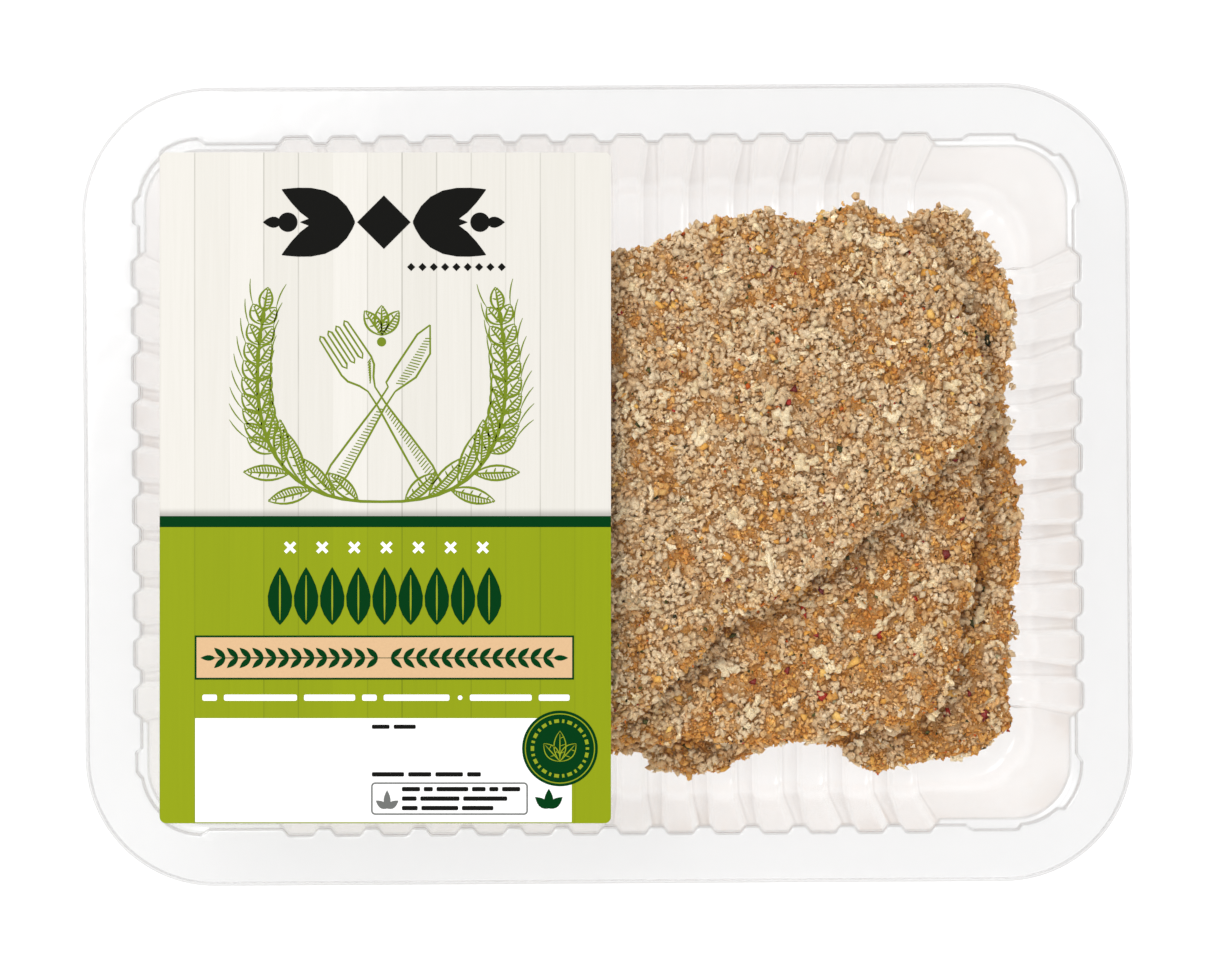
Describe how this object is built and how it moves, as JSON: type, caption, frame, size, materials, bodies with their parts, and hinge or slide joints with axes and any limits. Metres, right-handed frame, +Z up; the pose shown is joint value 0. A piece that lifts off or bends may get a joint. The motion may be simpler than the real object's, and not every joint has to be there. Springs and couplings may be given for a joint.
{
  "type": "packed crumbed chicken schnitzels",
  "caption": "Retail tray of crumbed chicken schnitzels: fluted clear tray with a sealed clear film, a printed label over one half, and raw schnitzels laid on each other.",
  "frame": {"origin": "centre of the pack's bounding box in plan, on the surface that the tray stands on", "axes": "+Z up, +X along the tray's length towards the end that the label leaves clear, +Y across the tray"},
  "size_m": [0.227, 0.173, 0.0456],
  "materials": {
    "tray_sheet": "clear thermoformed sheet, faintly milky, smooth and glossy",
    "lid_film": "clear flat lidding film, glossy",
    "label_print": "printed label: whitewashed boards above, a dark green line, lime green below",
    "crumb_coat": "raw coarse breadcrumb coat, cream to golden, with dried herbs and chilli flakes, matte"
  },
  "bodies": {
    "root": {"tray": "tray_sheet", "film": "lid_film", "label": "label_print", "schnitzel_bottom": "crumb_coat", "schnitzel_middle": "crumb_coat", "schnitzel_top": "crumb_coat"}
  },
  "joints": []
}
